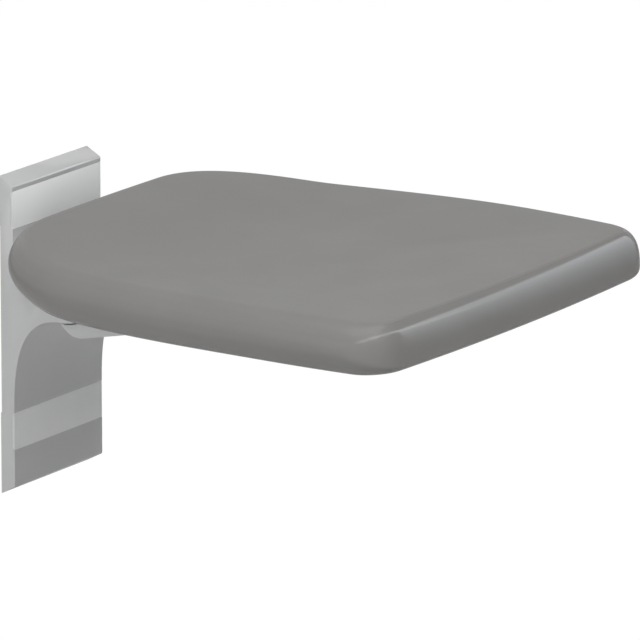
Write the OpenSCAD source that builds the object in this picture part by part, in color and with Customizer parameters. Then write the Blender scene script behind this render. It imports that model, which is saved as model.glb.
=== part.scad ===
// Fold down wall seat: a cast wall console with a hinge nose, a tapered cast arm that wraps
// under the nose, and one moulded seat with a rolled rim.
// Millimetres. X runs along the wall, Y points into the wall, Z is up. The origin is the centre
// of the four wall screw holes, on the wall's surface. The model is drawn with the seat down.

/* [Console] */
// Width of the console, of the nose and of the arm
console_w = 116; // [104:1:130]
// Height of the console's back edge above the centre of the screw holes
console_top = 114.3; // [108:0.1:130]
// Depth of the console's back edge below the centre of the screw holes
console_bottom = 140.2; // [125:0.1:160]
// Thickness of the console from the wall to its face
console_d = 13; // [12:0.5:16]
// How far the top face falls from the wall to the face
top_fall = 7; // [3:0.5:9]
// How far the bottom face rises from the wall to the face
bottom_rise = 7.1; // [3:0.1:9]
// Rounding of the long edges of the face
face_edge_r = 2; // [1:0.25:3]
// Depth of the relief between the two wall pads
relief_d = 0.9; // [0.5:0.1:1.5]
// Half the height of the relief
relief_half_h = 75; // [60:1:80]
// Thickness of the walls round the cored pockets in the console's back
core_wall = 5; // [4:0.5:6]

/* [Wall screws] */
// Distance between the screw holes along the wall
screw_span_x = 76; // [60:1:84]
// Distance between the upper and the lower screw holes
screw_span_z = 177; // [170:1:184]
// Radius of the screw holes
screw_hole_r = 4.25; // [3:0.25:4.5]
// Radius of the recess for a screw head
screw_recess_r = 8.5; // [7:0.5:9]
// Metal left under the screw head
screw_floor_t = 4; // [3:0.5:5]

/* [Cover strips] */
// Height of a cover strip at its face
strip_h = 30; // [26:0.5:34]
// Thickness of a cover strip
strip_t = 2.2; // [1.8:0.1:3]
// Chamfer along the back edges of a strip
strip_chamfer = 1.6; // [0.5:0.1:1.8]
// Distance between the two clips of a strip
clip_span = 30; // [26:1:34]

/* [Nose] */
// Distance of the hinge axis from the wall
axis_out = 58; // [56:0.5:62]
// Height of the hinge axis above the origin
axis_up = 54; // [52:0.5:56]
// Radius of the round end of the nose under the axis
head_r = 48.2; // [46:0.1:49]
// Height below the origin where the nose starts to grow out of the face
swoop_start = 70; // [60:1:71]
// Radius of the two ears that hold the shaft
ear_r = 15; // [14:0.5:16]
// Thickness of the two cheeks
cheek_t = 12; // [10:0.5:14]

/* [Hinge] */
// Radius of the shaft
shaft_r = 8; // [7:0.25:8.5]
// Radial running clearance of the bushes on the shaft
bush_gap = 0.05; // [0.02:0.01:0.1]
// Wall thickness of the bushes
bush_wall = 2.5; // [2:0.1:2.6]
// Length of each bush
bush_l = 24; // [18:1:30]
// Outer radius of the hub
hub_r = 14; // [13.5:0.25:14.5]
// Thickness of a friction disc
friction_t = 1.5; // [1:0.1:2]
// Thickness of a thrust washer
thrust_t = 1.5; // [1:0.1:2]
// Height of a fitted disc spring
spring_h = 2; // [1.6:0.1:2.4]
// Radius of the stop pin
stop_pin_r = 2.5; // [2:0.25:3]
// Angle that the seat folds up
fold_angle = 90; // [80:1:90]
// Radius of the heads of the shaft's end screws
end_head_r = 5.5; // [4.5:0.25:6]
// Radius of the washers of the end screws
end_washer_r = 10.5; // [9.5:0.25:11]

/* [Arm] */
// Radial gap between the nose and the arm's heel
heel_gap = 0.5; // [0.35:0.05:0.8]
// Radial gap between the nose and the arm in front of the heel
slit_gap = 1.2; // [0.8:0.1:2]
// Radius of the arm's heel
heel_r = 20.4; // [19:0.2:22]
// Height of the arm's lowest point above the origin
arm_low = -3.8; // [-5:0.1:-3]
// Slope of the arm's underside
arm_slope = 12.6; // [11:0.1:13.5]
// Distance of the arm's front end from the wall
arm_reach = 330; // [300:5:360]
// Wall thickness of the arm
arm_wall = 4.5; // [4:0.25:6]
// Height of the flange that carries the seat
flange_z = 70; // [69:0.5:71]
// Thickness of that flange
flange_t = 5; // [4:0.5:6]
// How far that flange stands out on each side of the console's width
flange_side = 19; // [17:0.5:24]

/* [Seat] */
// Distance of the seat's back edge from the wall
seat_back = 44; // [43:0.5:48]
// Distance of the seat's front edge from the wall
seat_front = 448.5; // [430:0.5:470]
// Half the seat's width at a quarter of its depth
half_w_back = 181.7; // [172:0.1:190]
// Half the seat's width at four fifths of its depth
half_w_front = 195.3; // [188:0.1:205]
// Radius of the bow of the back edge
back_bow_r = 4000; // [2000:100:6000]
// Radius of the bow of the front edge
front_bow_r = 2450; // [1800:50:4000]
// Radius of the bow of the sides
side_bow_r = 940; // [800:10:1600]
// Radius of the back corners
back_corner_r = 111; // [95:1:120]
// Radius of the front corners
front_corner_r = 38; // [32:1:50]
// Height of the rolled edge at a quarter of the seat's depth
seat_z = 84; // [82:0.5:88]
// How far the back edge is raised
back_rise = 11.6; // [6:0.2:12]
// How far the edge rises towards the front
front_rise = 2.8; // [0:0.2:4]
// Depth of the dish in the middle of the seat
dish = 3; // [2:0.25:4]
// Height of the rim at the sides and at the back
rim_h = 40; // [36:0.5:44]
// Height of the rim at the front
rim_front_h = 38; // [34:0.5:42]
// Wall thickness of the seat
skin = 4.5; // [3.5:0.25:5.5]
// Thickness of the ribs under the seat
rib_t = 3; // [2.5:0.25:4]
// Lowest point of the ribs under the seat
rib_z = 66; // [64:0.5:69]

/* [Seat screws] */
// How far the seat screws lie outside the console's width
seat_screw_side = 9; // [8:0.5:10]
// Distance of the first row of seat screws from the wall
seat_screw_first = 140; // [130:1:150]
// Distance between the rows of seat screws
seat_screw_pitch = 80; // [60:1:84]
// Thickness of the pads between the flange and the seat
pad_t = 1.5; // [1:0.25:2]
// Radius of the thread of the seat screws
seat_screw_r = 2.5; // [2:0.25:3]

/* [Hidden] */
$fn = 64;

console_colour = [0.71, 0.72, 0.72];
strip_colour = [0.80, 0.81, 0.81];
seat_colour = [0.45, 0.45, 0.44];
steel_colour = [0.62, 0.62, 0.63];
rubber_colour = [0.10, 0.10, 0.10];
brass_colour = [0.72, 0.58, 0.30];
polymer_colour = [0.20, 0.20, 0.19];

// Overrun of all cuts, and the clearance of parts that fit in a hole
cut = 1;
fit_gap = 0.02;
hand_gap = 0.3;

// Console places
half_w = console_w / 2;
face_y = -console_d;
strip_z = screw_span_z / 2;
groove_y = face_y + strip_t;
nose_drop = 18;
nose_root_drop = 8;
nose_step = 18;
nose_top = axis_up - nose_drop;
nose_root_z = axis_up - nose_root_drop;
nose_front = -axis_out;
nose_step_y = nose_step - axis_out;
head_low = axis_up - head_r;
swoop_handle_share = 0.39;
swoop_front_share = 0.2;
core_start_share = 0.72;
cheek_front_share = 0.573;
cheek_low_share = 0.817;
ear_back_share = 0.87;
cheek_in = half_w - cheek_t;
recess_d = 4.5;
lock_x = cheek_in + (cheek_t - recess_d) / 2;
clip_w = 12;
clip_h = 9;
clip_t = 1;
clip_depth = 5;
tongue_t = 2;

// Hinge places
hub_half = cheek_in - spring_h - thrust_t - friction_t;
bush_r = shaft_r + bush_gap + bush_wall;
friction_gap = 0.1;
shaft_half = half_w - recess_d;
end_hole_r = 2.4;
end_screw_r = 2.4;
end_screw_l = 14;
end_head_h = 2.8;
end_washer_t = 1.5;
flat_share = 0.35;
crown_share = 0.62;
lock_r = 2.5;
lock_l = 6;
stop_pin_out = hub_r - 1;
stop_angle = 45;
stop_slot_w = 2 * stop_pin_r + 2 * hand_gap;
buffer_t = 3;
buffer_r = 6;
buffer_stem_r = 3;
buffer_stem_l = 4;
buffer_x = 25;
buffer_drop = 32;
buffer_z = axis_up - buffer_drop;
stop_gap = 0.1;
socket_share = 0.7;

// Arm places
heel_out = 17.2;
heel_y = -(axis_out + heel_out);
heel_z = arm_low + heel_r;
arm_end_y = -arm_reach;
heel_run = 3.5;
stop_plate_y = nose_front - buffer_t - stop_gap;
stop_plate_t = 6;
stop_plate_top = axis_up - hub_r / 2;
arm_rib_t = 5;
arm_rib_x = 19;
flange_start = 54;
flange_back_y = -(axis_out + flange_start);
flange_low = flange_z - flange_t;
flange_corner_r = 10;
arm_tip_r = 9;
arm_inside = half_w - arm_wall;
boss_r = 8;
arm_cell = 44;
flange_w = console_w + 2 * flange_side;
seat_screw_x = half_w + seat_screw_side;

// Seat places
seat_l = seat_front - seat_back;
seat_mid_y = -(seat_back + seat_front) / 2;
seat_mid_z = seat_z - dish;
roll_x = 21.8;
roll_z = 20.1;
front_roll_x = 12.8;
front_roll_z = 32;
front_slope = 22;
round_share = 0.55;
front_top_share = 0.62;
front_low_share = 0.68;
tuck = 14.9;
front_tuck = 6.9;
lip_r = 2;
flat_dish_share = 0.3;
notch_gap = 2;
notch_half_w = half_w + notch_gap;
notch_rise = 21;
notch_top = axis_up + notch_rise;
back_rise_share = 0.28;
back_w_share = 0.25;
front_w_share = 0.8;
front_blend_share = 0.7;
front_blend_run_share = 0.2;
front_rise_end_share = 0.72;
front_power_share = 1.5;
rib_gap = 7;
rib_first_x = flange_w / 2 + rib_gap;
rib_step_x = 36;
rib_first_y = 96;
rib_step_y = 42;
rib_rows = 8;
insert_r = 3.6;
insert_l = 6;
seat_screw_l = 13;
seat_head_r = 4.6;
seat_head_h = 2.8;
head_taper_share = 0.8;
seat_washer_r = 6;
seat_washer_t = 1.2;
pad_half_l = 11;
pad_half_w = 7;

// A profile in the Y-Z plane, drawn out along X and centred
module along_x(width) {
    translate([-width / 2, 0, 0]) rotate([90, 0, 90]) linear_extrude(width) children();
}

// A cylinder along X that starts at x
module x_rod(x, r, l, y = -axis_out, z = axis_up) {
    translate([x, y, z]) rotate([0, 90, 0]) cylinder(r = r, h = l);
}

// A cylinder along Y from y_from to y_to
module y_rod(x, z, r, y_from, y_to) {
    translate([x, y_to, z]) rotate([90, 0, 0]) cylinder(r = r, h = y_to - y_from);
}

// Both sides of something that is drawn on the right
module both_sides() {
    for (side = [0, 1]) mirror([side, 0, 0]) children();
}

// Points of an arc
function arc_points(c, r, from, to, n) =
    [for (i = [0:n]) let(a = from + (to - from) * i / n) [c[0] + r * cos(a), c[1] + r * sin(a)]];

// A place on a curve with two handles, and points along the whole curve
function curve_at(a, b, c, d, t) = let(u = 1 - t)
    u * u * u * a + 3 * u * u * t * b + 3 * u * t * t * c + t * t * t * d;
function curve_points(a, b, c, d, n) = [for (i = [0:n]) curve_at(a, b, c, d, i / n)];

// Console

// The slab against the wall, with its sloped top and bottom
module slab_profile() {
    top_turn = atan2(console_d, top_fall);
    low_turn = atan2(console_d, bottom_rise);
    top_in = face_edge_r * tan(top_turn / 2);
    low_in = face_edge_r * tan(low_turn / 2);
    top_c = [face_y + face_edge_r, console_top - top_fall - top_in];
    low_c = [face_y + face_edge_r, bottom_rise - console_bottom + low_in];
    polygon(concat([[0, -console_bottom], [0, -relief_half_h], [-relief_d, -relief_half_h],
        [-relief_d, relief_half_h], [0, relief_half_h], [0, console_top]],
        arc_points(top_c, face_edge_r, 180 - top_turn, 180, 6),
        arc_points(low_c, face_edge_r, 180, 180 + low_turn, 6)));
}

// The underside of the nose, from the face to the point under the hinge axis
swoop_front = face_y - swoop_front_share * (axis_out - console_d);
swoop = curve_points([face_y, -swoop_start], [face_y, -swoop_start * swoop_handle_share],
    [swoop_front, head_low], [-axis_out, head_low], 20);

module nose_profile() {
    polygon(concat([[face_y / 2, -swoop_start]], swoop, [[nose_front, nose_top],
        [nose_step_y, nose_top], [face_y, nose_root_z], [face_y / 2, nose_root_z]]));
}

// One cheek: an ear round the shaft, and the round end under it
module cheek_profile() {
    tip = [-axis_out - cheek_front_share * head_r, axis_up - cheek_low_share * head_r];
    translate([-axis_out, axis_up]) circle(ear_r);
    intersection() {
        translate([-axis_out, axis_up]) circle(head_r);
        polygon([[nose_front, head_low - cut], [tip[0], head_low - cut], tip,
            [-axis_out - ear_r, axis_up], [nose_front, axis_up]]);
    }
    translate([-axis_out, nose_top - cut]) square([ear_r * ear_back_share, ear_r]);
}

// Pocket that is cored out of the nose from the wall side
module core_profile() {
    low_z = -swoop_start * core_start_share;
    front_y = nose_front + 2 * core_wall;
    polygon([[cut, low_z], [face_y + core_wall, low_z],
        [face_y + core_wall / 2, -swoop_start * swoop_handle_share],
        [swoop_front, head_low + core_wall / 2], [front_y, head_low + core_wall],
        [front_y, nose_top - core_wall], [face_y - core_wall, nose_top - core_wall],
        [cut, nose_root_z - core_wall]]);
}

// The groove for a cover strip, as wide as the console
module groove_profile(z) {
    translate([0, z]) {
        strip_profile();
        translate([face_y - cut, -strip_h / 2]) square([cut, strip_h]);
    }
}

module console_casting() color(console_colour) difference() {
    union() {
        along_x(console_w) slab_profile();
        along_x(console_w) nose_profile();
        both_sides() translate([cheek_in + cheek_t / 2, 0, 0]) along_x(cheek_t) cheek_profile();
    }
    for (z = [-strip_z, strip_z]) along_x(console_w + 2 * cut) groove_profile(z);
    for (x = [-screw_span_x / 2, screw_span_x / 2], z = [-strip_z, strip_z]) {
        y_rod(x, z, screw_hole_r, face_y, cut);
        y_rod(x, z, screw_recess_r, face_y, -screw_floor_t);
    }
    for (x = [-clip_span / 2, clip_span / 2], z = [-strip_z, strip_z])
        translate([x - clip_w / 2, groove_y - cut, z - clip_h / 2])
            cube([clip_w, clip_depth + cut, clip_h]);
    core_w = (console_w - 4 * core_wall) / 3;
    for (i = [-1:1]) translate([i * (core_w + core_wall), 0, 0]) along_x(core_w) core_profile();
    x_rod(-half_w - cut, shaft_r + fit_gap, console_w + 2 * cut);
    both_sides() x_rod(half_w - recess_d, end_washer_r + hand_gap, recess_d + cut);
    both_sides() translate([lock_x, -axis_out, axis_up]) cylinder(r = lock_r, h = ear_r + cut);
    both_sides() y_rod(buffer_x, buffer_z, buffer_stem_r, nose_front - cut, nose_front + buffer_stem_l);
}

// Cover strips

module strip_profile() {
    polygon([[face_y, -strip_h / 2], [groove_y, -strip_h / 2 + strip_chamfer],
        [groove_y, strip_h / 2 - strip_chamfer], [face_y, strip_h / 2]]);
}

module cover_strip(z) {
    translate([0, 0, z]) {
        along_x(console_w) strip_profile();
        for (x = [-clip_span / 2, clip_span / 2])
            translate([x - clip_w / 2 + clip_t, groove_y - strip_t / 2, -tongue_t / 2])
                cube([clip_w - 2 * clip_t, strip_t / 2 + clip_depth - clip_t - hand_gap, tongue_t]);
    }
}

module upper_cover_strip() color(strip_colour) cover_strip(strip_z);
module lower_cover_strip() color(strip_colour) cover_strip(-strip_z);

// A bent spring clip that holds the tongue of a strip
module clip_profile() {
    lip = (clip_h - tongue_t) / 2 - clip_t;
    translate([groove_y + clip_depth - clip_t, -clip_h / 2]) square([clip_t, clip_h]);
    for (side = [0, 1]) mirror([0, side]) {
        translate([groove_y, clip_h / 2 - clip_t]) square([clip_depth, clip_t]);
        translate([groove_y + clip_t, tongue_t / 2]) square([clip_t, lip + clip_t]);
    }
}

module strip_clips() color(steel_colour)
    for (x = [-clip_span / 2, clip_span / 2], z = [-strip_z, strip_z])
        translate([x, 0, z]) along_x(clip_w) clip_profile();

// Hinge

module hinge_shaft() color(steel_colour) difference() {
    x_rod(-shaft_half, shaft_r, 2 * shaft_half);
    both_sides() x_rod(shaft_half - end_screw_l, end_hole_r, end_screw_l + cut);
    both_sides() translate([lock_x, -axis_out, axis_up + shaft_r - lock_r / 2])
        cylinder(r = lock_r, h = shaft_r);
    translate([0, -axis_out, axis_up]) rotate([stop_angle - 90, 0, 0])
        cylinder(r = stop_pin_r, h = hub_r);
}

// Button head screw in each end of the shaft, with a hexagon socket
module shaft_end_screws() color(steel_colour) both_sides()
    translate([shaft_half + end_washer_t, -axis_out, axis_up]) rotate([0, 90, 0]) difference() {
        r = end_screw_r - fit_gap;
        rotate_extrude() polygon([[0, hand_gap - end_screw_l], [r, hand_gap - end_screw_l],
            [r, 0], [end_head_r, 0], [end_head_r, end_head_h * flat_share],
            [end_head_r * crown_share, end_head_h], [0, end_head_h]]);
        translate([0, 0, end_head_h * flat_share])
            cylinder(r = end_screw_r, h = end_head_h, $fn = 6);
    }

module shaft_end_washers() color(steel_colour) both_sides() difference() {
    x_rod(shaft_half, end_washer_r, end_washer_t);
    x_rod(shaft_half - cut, end_screw_r + hand_gap / 2, end_washer_t + 2 * cut);
}

module shaft_lock_screws() color(steel_colour) both_sides()
    translate([lock_x, -axis_out, axis_up + shaft_r - lock_r / 2]) difference() {
        cylinder(r = lock_r - fit_gap, h = lock_l);
        translate([0, 0, lock_l / 2]) cylinder(r = lock_r / 2, h = lock_l, $fn = 6);
    }

module thrust_washers() color(steel_colour) both_sides() difference() {
    x_rod(cheek_in - spring_h - thrust_t + friction_gap, hub_r, thrust_t - friction_gap);
    x_rod(cheek_in - spring_h - thrust_t - cut, shaft_r + hand_gap, thrust_t + 2 * cut);
}

// A coned washer between the thrust washer and the cheek
module disc_springs() color(steel_colour) both_sides()
    translate([cheek_in - spring_h, -axis_out, axis_up]) rotate([0, 90, 0]) rotate_extrude()
        polygon([[shaft_r + hand_gap, 0], [shaft_r + hand_gap, spring_h / 2],
            [hub_r, spring_h], [hub_r, spring_h / 2]]);

// Radial pin in the shaft that moves in the slot of the hub and ends the fold
module stop_pin() color(steel_colour)
    translate([0, -axis_out, axis_up]) rotate([stop_angle - 90, 0, 0])
        cylinder(r = stop_pin_r - fit_gap, h = stop_pin_out);

module down_stop_buffers() color(rubber_colour) both_sides() {
    y_rod(buffer_x, buffer_z, buffer_r, nose_front - buffer_t, nose_front);
    y_rod(buffer_x, buffer_z, buffer_stem_r - fit_gap, nose_front - buffer_t / 2,
        nose_front + buffer_stem_l - hand_gap);
}

// Arm

// Height of the arm's underside at a distance from the wall
function arm_under(y) = heel_z - heel_r * cos(arm_slope)
    + tan(arm_slope) * (heel_y - heel_r * sin(arm_slope) - y);

// Outline of the arm from the side, grown inwards by a wall
module arm_profile(wall = 0) {
    tangent_y = heel_y - heel_r * sin(arm_slope);
    lift = wall / cos(arm_slope);
    tip_r = max(arm_tip_r - wall, arm_wall / 2);
    tip_y = arm_end_y + wall + tip_r;
    tip_z = arm_under(tip_y) + lift + tip_r / cos(arm_slope);
    top_z = flange_z + (wall > 0 ? cut : 0);
    translate([heel_y, heel_z]) circle(heel_r - wall);
    polygon(concat([[tangent_y, arm_under(tangent_y) + lift]],
        arc_points([tip_y, tip_z], tip_r, 270 - arm_slope, 180, 8),
        [[arm_end_y + wall, top_z], [flange_back_y - wall, top_z],
        [heel_y, heel_z + heel_r / 2], [heel_y, heel_z - heel_r / 2]]));
}

// Outline of the flange under the seat, with round corners
module flange_outline() {
    in_x = flange_w / 2 - flange_corner_r;
    for (x = [-in_x, in_x], y = [arm_end_y + flange_corner_r, flange_back_y - flange_corner_r])
        translate([x, y]) circle(flange_corner_r);
    translate([-in_x, arm_end_y]) square([2 * in_x, flange_back_y - arm_end_y]);
    translate([-flange_w / 2, arm_end_y + flange_corner_r])
        square([flange_w, flange_back_y - arm_end_y - 2 * flange_corner_r]);
}

// The space round the hinge axis that the nose turns in
module head_space() {
    translate([-axis_out, axis_up]) circle(head_r + heel_gap);
    intersection() {
        translate([-axis_out, axis_up]) circle(head_r + slit_gap);
        translate([-axis_out - heel_run - 2 * head_r, axis_up - 2 * head_r])
            square([2 * head_r, 4 * head_r]);
    }
}

// Rib between the hub and the body of the arm
module hub_rib_profile() {
    front_y = flange_back_y - 2 * arm_wall;
    polygon([[stop_plate_y, stop_plate_top], [stop_plate_y, axis_up - head_r + 2 * arm_wall],
        [heel_y, arm_low + arm_wall / 2],
        [heel_y - heel_r, arm_under(heel_y - heel_r) + arm_wall / 2],
        [front_y, arm_under(front_y) + arm_wall / 2], [front_y, flange_z - flange_t],
        [-axis_out - hub_r / 2, axis_up + hub_r / 2], [-axis_out, axis_up]]);
}

module seat_screw_places() {
    for (i = [0:2]) both_sides()
        translate([seat_screw_x, -seat_screw_first - i * seat_screw_pitch, 0]) children();
}

module seat_arm() color(console_colour) difference() {
    union() {
        difference() {
            union() {
                along_x(console_w) difference() {
                    arm_profile();
                    head_space();
                }
                translate([0, 0, flange_low]) linear_extrude(flange_t) flange_outline();
            }
            along_x(2 * arm_inside) difference() {
                arm_profile(arm_wall);
                translate([-axis_out, axis_up]) circle(head_r + slit_gap + arm_wall);
            }
        }
        for (x = [-arm_rib_x, arm_rib_x]) translate([x, 0, 0]) along_x(arm_rib_t) intersection() {
            arm_profile();
            translate([arm_end_y, arm_low])
                square([arm_reach + flange_back_y + arm_wall, flange_low - arm_low]);
        }
        for (y = [flange_back_y - arm_cell: -arm_cell: arm_end_y + arm_cell]) {
            low_z = arm_under(y) + arm_wall / 2;
            translate([-arm_inside - cut, y - arm_rib_t / 2, low_z])
                cube([2 * arm_inside + 2 * cut, arm_rib_t, flange_low - low_z]);
        }
        for (x = [-arm_rib_x, arm_rib_x]) translate([x, 0, 0]) along_x(arm_rib_t) hub_rib_profile();
        along_x(2 * (hub_half - friction_t)) intersection() {
            translate([stop_plate_y - stop_plate_t, axis_up - head_r])
                square([stop_plate_t, stop_plate_top - axis_up + head_r]);
            translate([-axis_out, axis_up]) circle(head_r);
        }
        x_rod(-hub_half, hub_r, 2 * hub_half);
    }
    x_rod(-hub_half - cut, bush_r + fit_gap, 2 * hub_half + 2 * cut);
    stop_slot();
    seat_screw_places() translate([0, 0, flange_low - cut])
        cylinder(r = seat_screw_r + hand_gap, h = flange_t + 2 * cut);
}

// Slot in the hub that the stop pin moves in, with ends that lie flat on the pin
module stop_slot() {
    end_r = stop_pin_r + stop_gap;
    last_angle = stop_angle + fold_angle;
    translate([0, -axis_out, axis_up]) along_x(stop_slot_w) {
        polygon(concat([[0, 0]], arc_points([0, 0], hub_r + cut, stop_angle, last_angle, 12)));
        for (a = [stop_angle, last_angle])
            rotate(a) translate([0, -end_r]) square([hub_r + cut, 2 * end_r]);
    }
}

module hub_bush(side) color(polymer_colour) difference() {
    x = side > 0 ? hub_half - bush_l : -hub_half;
    x_rod(x, bush_r, bush_l);
    x_rod(x - cut, shaft_r + bush_gap, bush_l + 2 * cut);
}

module left_hub_bush() hub_bush(-1);
module right_hub_bush() hub_bush(1);

module friction_disc(side) color(polymer_colour) difference() {
    x = side > 0 ? hub_half : -hub_half - friction_t;
    x_rod(x, hub_r, friction_t);
    x_rod(x - cut, shaft_r + hand_gap, friction_t + 2 * cut);
}

module left_friction_disc() friction_disc(-1);
module right_friction_disc() friction_disc(1);

// Seat

// Where two circles meet, on the side of the larger x
function circles_meet(a, ra, b, rb) = let(
    d = b - a, l = norm(d), m = (ra * ra - rb * rb + l * l) / (2 * l),
    h = sqrt(ra * ra - m * m), foot = a + d * m / l, n = [-d[1], d[0]] / l,
    p = foot + n * h, q = foot - n * h) p[0] > q[0] ? p : q;

function turn_to(from, to) = atan2(to[1] - from[1], to[0] - from[0]);

// Centres of the arcs that make the seat's outline
back_c = [0, -seat_back - back_bow_r];
front_c = [0, -seat_front + front_bow_r];
side_a = [half_w_back, -seat_back - back_w_share * seat_l];
side_b = [half_w_front, -seat_back - front_w_share * seat_l];
side_run = side_b - side_a;
side_l = norm(side_run);
side_c = (side_a + side_b) / 2 + [side_run[1], -side_run[0]] / side_l
    * sqrt(side_bow_r * side_bow_r - side_l * side_l / 4);
back_corner = circles_meet(back_c, back_bow_r - back_corner_r, side_c, side_bow_r - back_corner_r);
front_corner = circles_meet(front_c, front_bow_r - front_corner_r,
    side_c, side_bow_r - front_corner_r);
turn_1 = turn_to(back_c, back_corner);
turn_2 = turn_to(side_c, back_corner);
turn_3 = turn_to(side_c, front_corner);
turn_4 = turn_to(front_c, front_corner);

// Points of one arc of the outline with their outward directions, without the last point
function edge_points(c, r, from, to, n) =
    [for (i = [0:n - 1]) let(a = from + (to - from) * i / n, v = [cos(a), sin(a)]) [c + r * v, v]];

right_edge = concat(edge_points(back_c, back_bow_r, 90, turn_1, 3),
    edge_points(back_corner, back_corner_r, turn_1, turn_2, 10),
    edge_points(side_c, side_bow_r, turn_2, turn_3, 6),
    edge_points(front_corner, front_corner_r, turn_3, turn_4, 9),
    edge_points(front_c, front_bow_r, turn_4, -90, 4));
left_edge = [for (i = [len(right_edge) - 1:-1:1]) let(e = right_edge[i])
    [[-e[0][0], e[0][1]], [-e[1][0], e[1][1]]]];
seat_edge = concat(right_edge, [[[0, -seat_front], [0, -1]]], left_edge);
edge_n = len(seat_edge);

// Share of the seat's depth, 0 at the back and 1 at the front
function depth_share(y) = min(1, max(0, (-y - seat_back) / seat_l));

function mix(a, b, t) = a + (b - a) * t;

// A soft step from 0 to 1 between two shares
function soft_step(s, from, to) = let(t = min(1, max(0, (s - from) / (to - from))))
    t * t * (3 - 2 * t);

// Height of the top of the rolled edge along the seat's depth
function edge_height(y) = let(s = depth_share(y), b = max(0, 1 - s / back_rise_share))
    seat_z + back_rise * b * b + front_rise * soft_step(s, back_w_share, front_rise_end_share);

// How much of the front's shape the rim has at a point of the outline
function front_part(e) = let(s = depth_share(e[0][1]), turned = max(0, -e[1][1]))
    min(1, max(0, (s - front_blend_share) / front_blend_run_share)) * pow(turned, front_power_share);

// A point of the rolled edge: share 0 is the widest line and 1 the top
function roll_point(e, share, wall) = let(w = front_part(e), p = e[0],
    rx = mix(roll_x, front_roll_x, w) - wall, rz = mix(roll_z, front_roll_z, w) - wall,
    low_hold = rz * mix(round_share, front_low_share, w),
    top_hold = rx * mix(round_share, front_top_share, w),
    slope_drop = top_hold * tan(front_slope * w),
    c = curve_at([0, 0], [0, low_hold], [rx - top_hold, rz - slope_drop], [rx, rz], share),
    q = p - e[1] * (wall + c[0]))
    [q[0], q[1], edge_height(p[1]) - rz - wall + c[1]];

// A point of the tucked wall under the roll: share 0 is the widest line and 1 the lip
function wall_point(e, share, wall, short = 0) = let(w = front_part(e), p = e[0], n = e[1],
    rz = mix(roll_z, front_roll_z, w), h = mix(rim_h, rim_front_h, w) - short,
    q = p - n * (wall + mix(tuck, front_tuck, w) * share * share))
    [q[0], q[1], edge_height(p[1]) - mix(rz, h, share)];

// A point of the dished top, where share 1 is the inner edge of the roll
function dish_point(e, share, wall) = let(r = roll_point(e, 1, 0))
    [r[0] * share, mix(seat_mid_y, r[1], share),
        mix(seat_mid_z, r[2], soft_step(share, flat_dish_share, 1)) - wall];

roll_shares = [0, 0.25, 0.45, 0.62, 0.78, 1];
wall_shares = [1, 0.72, 0.4];
dish_shares = [0.85, 0.7, 0.55, 0.3];
inner_roll_shares = [0.2, 0.6];
inner_shares = [0.9, 0.7, 0.5, 0.3];

// Rings of the outer face, from the middle of the top to the lip
outer_rings = concat(
    [for (k = [len(dish_shares) - 1:-1:0]) [for (e = seat_edge) dish_point(e, dish_shares[k], 0)]],
    [for (k = [len(roll_shares) - 1:-1:0]) [for (e = seat_edge) roll_point(e, roll_shares[k], 0)]],
    [for (k = [len(wall_shares) - 1:-1:0])
        [for (e = seat_edge) wall_point(e, wall_shares[k], 0, lip_r)]],
    [[for (e = seat_edge) wall_point(e, 1, lip_r / 2)]]);

// Rings of the hollow, from the middle to below the lip
inner_rings = concat(
    [for (k = [len(inner_shares) - 1:-1:0])
        [for (e = seat_edge) dish_point(e, inner_shares[k], skin)]],
    [for (k = [len(inner_roll_shares) - 1:-1:0])
        [for (e = seat_edge) roll_point(e, inner_roll_shares[k], skin)]],
    [[for (e = seat_edge) wall_point(e, 1, skin)]],
    [[for (e = seat_edge) wall_point(e, 1, skin, -lip_r)]]);

// A closed body through rings, with a middle point at each end
module rings_body(rings, first_z, last_z) {
    n = edge_n;
    m = len(rings);
    points = concat([for (ring = rings) each ring],
        [[0, seat_mid_y, first_z], [0, seat_mid_y, last_z]]);
    walls = [for (k = [0:m - 2], i = [0:n - 1]) let(a = k * n + i, b = k * n + (i + 1) % n)
        each [[a, b + n, b], [a, a + n, b + n]]];
    top = [for (i = [0:n - 1]) [m * n, i, (i + 1) % n]];
    low = [for (i = [0:n - 1]) [m * n + 1, (m - 1) * n + (i + 1) % n, (m - 1) * n + i]];
    polyhedron(points, concat(walls, top, low));
}

// The ribs fill part of the hollow, so they meet the skin and the walls everywhere
module rib_grid() {
    translate([0, 0, rib_z]) linear_extrude(back_rise + seat_z - rib_z) {
        both_flat() for (i = [0:2]) translate([rib_first_x + i * rib_step_x, -seat_front])
            square([rib_t, seat_l]);
        both_flat() for (i = [0:rib_rows - 1])
            translate([rib_first_x, -rib_first_y - i * rib_step_y])
                square([half_w_front - rib_first_x, rib_t]);
    }
    translate([-rib_first_x - rib_t / 2, 0, flange_z + pad_t + hand_gap])
        linear_extrude(back_rise + seat_z - flange_z)
            for (i = [0:rib_rows - 1]) translate([0, -rib_first_y - i * rib_step_y])
                square([2 * rib_first_x + rib_t, rib_t]);
}
module both_flat() {
    for (side = [0, 1]) mirror([side, 0]) children();
}

module seat_shell() color(seat_colour) difference() {
    rings_body(outer_rings, seat_mid_z, seat_z - rim_h);
    difference() {
        rings_body(inner_rings, seat_mid_z - skin, seat_z - rim_h - lip_r);
        rib_grid();
        seat_screw_places() translate([0, 0, flange_z + pad_t])
            cylinder(r = boss_r, h = seat_z - flange_z);
    }
    translate([-notch_half_w, -seat_back - tuck - 2 * skin, axis_up - ear_r])
        cube([2 * notch_half_w, tuck + 2 * skin + cut, notch_top - axis_up + ear_r]);
    seat_screw_places() translate([0, 0, flange_z + pad_t - cut])
        cylinder(r = insert_r, h = insert_l + cut);
}

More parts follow.
